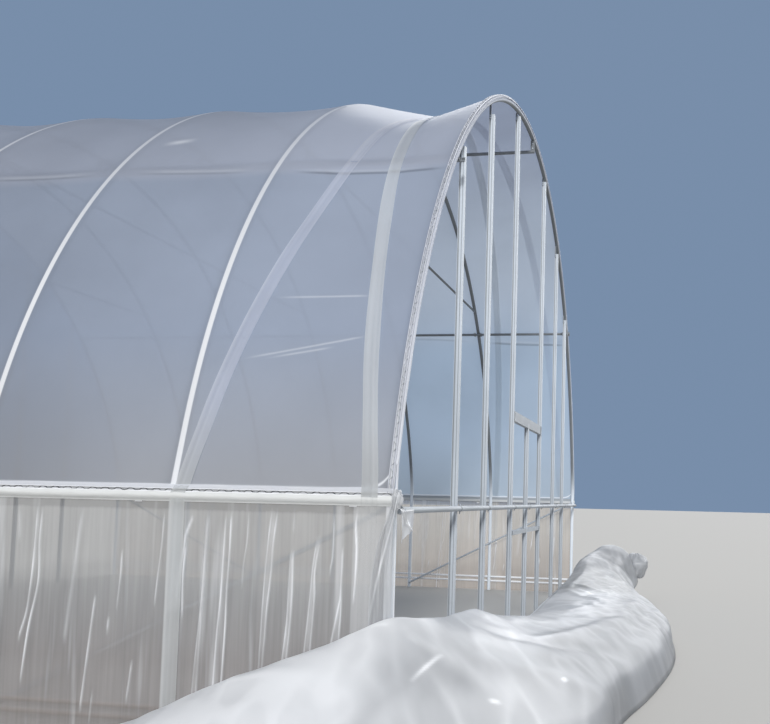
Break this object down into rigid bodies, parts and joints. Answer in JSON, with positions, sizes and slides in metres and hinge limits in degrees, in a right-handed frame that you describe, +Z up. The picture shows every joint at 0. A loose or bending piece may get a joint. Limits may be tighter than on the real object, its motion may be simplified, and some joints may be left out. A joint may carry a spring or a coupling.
{
  "type": "polytunnel greenhouse",
  "caption": "Round-arched tunnel greenhouse of steel bows under a stretched film roof, with hanging side curtains, open studded end frames and a loose end sheet on the ground.",
  "frame": {"origin": "on the ground under the middle post of the front end's door frame, which stands at the front end of the tunnel on its centre line", "axes": "+Z up; +X along the tunnel, out of its front end, so the tunnel lies towards -X; +Y across the tunnel to its far side"},
  "size_m": [8.9225, 10.5628, 5.0666],
  "materials": {
    "bow_tube": "dull galvanised steel tube",
    "galvanised_tube": "dull galvanised steel tube",
    "white_rail": "matt white coating under film",
    "wire_channel": "mill-finish channel with a zigzag wire",
    "cover_film": "translucent greenhouse film",
    "curtain_film": "translucent film with hanging wrinkles",
    "strap_film": "folded translucent film",
    "sheet_film": "crumpled milky film"
  },
  "bodies": {
    "root": {"back_bow_channel": "wire_channel", "back_centre_post": "galvanised_tube", "back_door_header": "galvanised_tube", "back_door_mid_rails": "galvanised_tube", "back_door_posts": "galvanised_tube", "back_end_rail": "galvanised_tube", "back_mid_studs": "galvanised_tube", "back_outer_studs": "galvanised_tube", "bow_1": "bow_tube", "bow_2": "bow_tube", "bow_3": "bow_tube", "bow_4": "bow_tube", "bow_5": "bow_tube", "bow_6": "bow_tube", "bow_7": "bow_tube", "collar_ties": "galvanised_tube", "far_base_rails": "white_rail", "far_braces": "galvanised_tube", "far_curtain": "curtain_film", "far_hip_channel": "wire_channel", "far_hip_rail": "white_rail", "far_purlin": "galvanised_tube", "front_bow_channel": "wire_channel", "front_centre_post": "galvanised_tube", "front_door_header": "galvanised_tube", "front_door_mid_rails": "galvanised_tube", "front_door_posts": "galvanised_tube", "front_end_rail": "galvanised_tube", "front_mid_studs": "galvanised_tube", "front_outer_studs": "galvanised_tube", "loose_end_sheet": "sheet_film", "near_base_rails": "white_rail", "near_braces": "galvanised_tube", "near_curtain": "curtain_film", "near_hip_channel": "wire_channel", "near_hip_rail": "white_rail", "near_purlin": "galvanised_tube", "ridge_hangers": "galvanised_tube", "ridge_purlin": "galvanised_tube", "roof_cover": "cover_film", "strap_a": "strap_film", "strap_b": "strap_film"}
  },
  "joints": []
}
